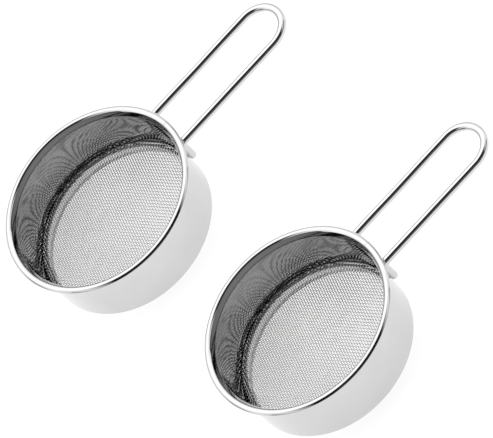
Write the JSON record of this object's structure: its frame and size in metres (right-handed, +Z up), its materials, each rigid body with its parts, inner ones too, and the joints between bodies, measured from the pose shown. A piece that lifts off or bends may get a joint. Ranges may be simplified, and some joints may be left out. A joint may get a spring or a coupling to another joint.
{
  "type": "sieve pair",
  "caption": "Pair of loose round hand sieves: stainless steel cup with hemmed rim, woven-wire floor on a clamp hoop, and a U-shaped wire handle with welded feet.",
  "frame": {"origin": "bottom centre of the bounding box of the two sieves standing side by side", "axes": "+Z up, +X along both handles away from the cups, sieve a on the +Y side and sieve b on the -Y side"},
  "size_m": [0.2102, 0.2604, 0.036],
  "materials": {
    "cup_steel": "bright polished stainless strip",
    "wire_steel": "bright polished stainless wire",
    "mesh_steel": "bright woven stainless wire",
    "weld_steel": "cleaned weld metal"
  },
  "bodies": {
    "sieve_a": {"a_body_band": "cup_steel", "a_seam_weld": "weld_steel", "a_clamp_hoop": "cup_steel", "a_mesh_disc": "mesh_steel", "a_handle_wire": "wire_steel", "a_weld_near": "weld_steel", "a_weld_far": "weld_steel"},
    "sieve_b": {"b_body_band": "cup_steel", "b_seam_weld": "weld_steel", "b_clamp_hoop": "cup_steel", "b_mesh_disc": "mesh_steel", "b_handle_wire": "wire_steel", "b_weld_near": "weld_steel", "b_weld_far": "weld_steel"}
  },
  "joints": [
    {"name": "sieve_b_lift", "type": "slide", "parent": "sieve_a", "child": "sieve_b", "axis": [0, 0, 1], "range_m": [0, 0.1]}
  ]
}
